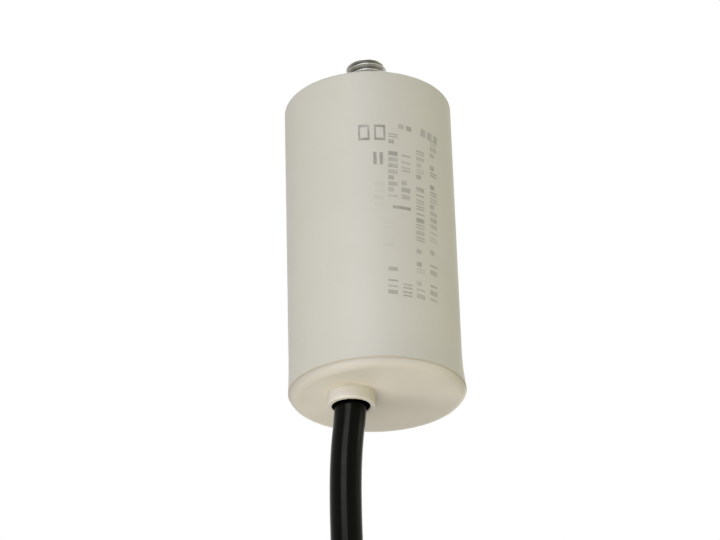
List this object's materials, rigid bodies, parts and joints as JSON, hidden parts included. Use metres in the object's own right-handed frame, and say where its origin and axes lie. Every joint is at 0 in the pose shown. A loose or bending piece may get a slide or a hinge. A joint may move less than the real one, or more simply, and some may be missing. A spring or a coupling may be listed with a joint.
{
  "type": "motor run capacitor",
  "caption": "Cylindrical motor run capacitor: potted film winding in a moulded plastic can, fixed by a threaded stud on its closed end and wired by a cable through its lid.",
  "frame": {"origin": "middle of the can's stud-end face, where a bracket seats, on the stud's axis", "axes": "+Z along the stud, out of the can; -Y is the side with the print; the cable hangs towards -Z"},
  "size_m": [0.0412, 0.0328, 0.2057],
  "materials": {
    "can_plastic": "moulded, satin, warm grey-white",
    "lid_plastic": "moulded, satin, cream",
    "stud_steel": "zinc-plated rolled thread",
    "core_plastic": "extruded tube",
    "metallised_film": "wound metallised film",
    "sprayed_zinc": "rough sprayed metal",
    "solder": "dull solder",
    "resin": "poured potting resin",
    "sheath_pvc": "extruded, soft satin black",
    "brown_insulation": "extruded, brown",
    "blue_insulation": "extruded, blue",
    "tinned_copper": "tinned twisted strands",
    "nylon": "moulded natural nylon"
  },
  "bodies": {
    "root": {"can": "can_plastic", "mounting_stud": "stud_steel", "lid": "lid_plastic", "winding_core": "core_plastic", "film_winding": "metallised_film", "stud_end_contact": "sprayed_zinc", "lid_end_contact": "sprayed_zinc", "brown_lead": "brown_insulation", "blue_lead": "blue_insulation", "brown_solder": "solder", "blue_solder": "solder", "potting_resin": "resin", "cable_sheath": "sheath_pvc", "brown_core": "brown_insulation", "blue_core": "blue_insulation", "brown_tip": "tinned_copper", "blue_tip": "tinned_copper", "cable_tie": "nylon"}
  },
  "joints": []
}
